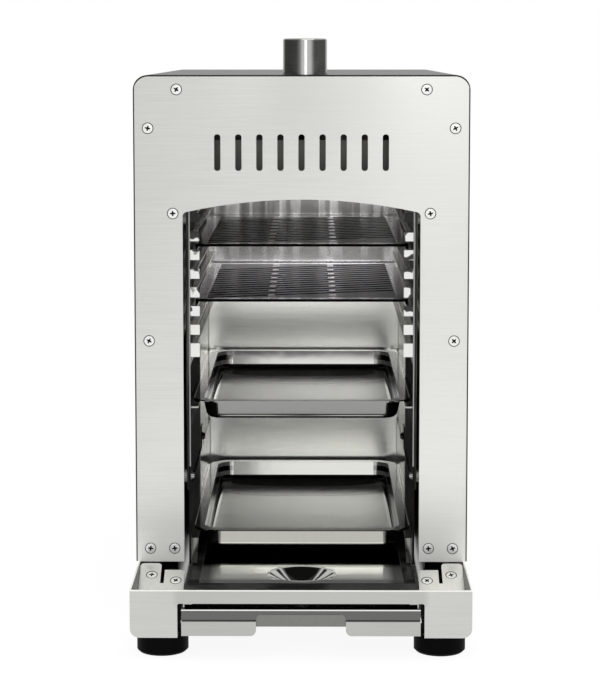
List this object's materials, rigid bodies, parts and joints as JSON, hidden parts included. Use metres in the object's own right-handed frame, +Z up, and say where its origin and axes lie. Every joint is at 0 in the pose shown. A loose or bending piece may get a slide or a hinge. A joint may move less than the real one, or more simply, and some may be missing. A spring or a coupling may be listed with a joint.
{
  "type": "steak grill",
  "caption": "Upright gas steak grill with heat from above, slanted-slot grates on slide-in racks, drip pans, a drain tray and a grease drawer.",
  "frame": {"origin": "on the ground, under the middle of the grill's footprint over everything, gas inlet included", "axes": "+Z up, +Y towards the back, so the front opening faces -Y, and +X to the viewer's right"},
  "size_m": [0.24, 0.502, 0.427],
  "materials": {
    "base_steel": "brushed",
    "panel_steel": "brushed",
    "casing_steel": "brushed",
    "apron_steel": "brushed",
    "frame_steel": "plain sheet",
    "rack_steel": "brushed",
    "guide_steel": "brushed",
    "wall_steel": "brushed",
    "drain_steel": "brushed",
    "drawer_steel": "brushed",
    "tray_steel": "satin",
    "grate_steel": "satin",
    "pan_steel": "polished",
    "burner_steel": "heat-tinted",
    "pipe_steel": "satin",
    "screw_steel": "polished",
    "bolt_steel": "polished",
    "spring_steel": "drawn wire",
    "rubber": "matt",
    "burner_ceramic": "unglazed",
    "probe_ceramic": "glazed",
    "valve_brass": "turned",
    "knob_chrome": "dark polished"
  },
  "bodies": {
    "housing": {"base_tray": "base_steel", "foot_front_left": "rubber", "foot_front_right": "rubber", "foot_back_left": "rubber", "foot_back_right": "rubber", "foot_screws": "screw_steel", "foot_nuts": "screw_steel", "front_panel": "panel_steel", "outer_casing": "casing_steel", "back_panel": "casing_steel", "panel_screws": "screw_steel", "back_screws": "screw_steel", "apron_left": "apron_steel", "apron_right": "apron_steel", "apron_screws": "screw_steel", "frame_left": "frame_steel", "frame_right": "frame_steel", "rack_left": "rack_steel", "rack_right": "rack_steel", "lower_guide_left": "guide_steel", "lower_guide_right": "guide_steel", "pan_runner_left": "guide_steel", "pan_runner_right": "guide_steel", "drawer_runner_left": "guide_steel", "drawer_runner_right": "guide_steel", "rack_sleeves": "screw_steel", "rack_bolts": "bolt_steel", "chamber_back_wall": "wall_steel", "chamber_roof": "wall_steel", "drain_tray": "drain_steel", "drawer_cover": "drain_steel", "burner_housing": "burner_steel", "burner_tiles": "burner_ceramic", "burner_guard": "burner_steel", "mixing_tube": "burner_steel", "gas_valve": "valve_brass", "valve_bracket": "frame_steel", "gas_nozzle": "valve_brass", "gas_pipe": "pipe_steel", "gas_inlet": "valve_brass", "probe_bracket": "frame_steel", "ignition_electrode": "probe_ceramic", "thermocouple": "pipe_steel"},
    "push_collar": {"spring_cap": "screw_steel", "stem_spring": "spring_steel"},
    "control_knob": {"control_knob": "knob_chrome", "valve_stem": "pipe_steel"},
    "grease_drawer": {"drawer_front": "drawer_steel", "drawer_tray": "tray_steel"},
    "upper_grate": {"grate_upper": "grate_steel"},
    "lower_grate": {"grate_lower": "grate_steel"},
    "upper_pan": {"pan_upper": "pan_steel"},
    "lower_pan": {"pan_lower": "pan_steel"}
  },
  "joints": [
    {"name": "knob_press", "type": "slide", "parent": "housing", "child": "push_collar", "axis": [0, 0, -1], "range_m": [0, 0.003], "stiffness_N_per_m": 600, "springref_m": -0.008, "deforming": ["stem_spring"]},
    {"name": "knob_turn", "type": "hinge", "parent": "push_collar", "child": "control_knob", "pos_m": [0.0024, -0.141, 0.41], "axis": [0, 0, 1], "range_deg": [0, 180]},
    {"name": "grease_drawer_slide", "type": "slide", "parent": "housing", "child": "grease_drawer", "axis": [0, -1, 0], "range_m": [0, 0.2]},
    {"name": "upper_grate_slide", "type": "slide", "parent": "housing", "child": "upper_grate", "axis": [0, -1, 0], "range_m": [0, 0.25]},
    {"name": "lower_grate_slide", "type": "slide", "parent": "housing", "child": "lower_grate", "axis": [0, -1, 0], "range_m": [0, 0.25]},
    {"name": "upper_pan_slide", "type": "slide", "parent": "housing", "child": "upper_pan", "axis": [0, -1, 0], "range_m": [0, 0.25]},
    {"name": "lower_pan_slide", "type": "slide", "parent": "housing", "child": "lower_pan", "axis": [0, -1, 0], "range_m": [0, 0.115]}
  ]
}
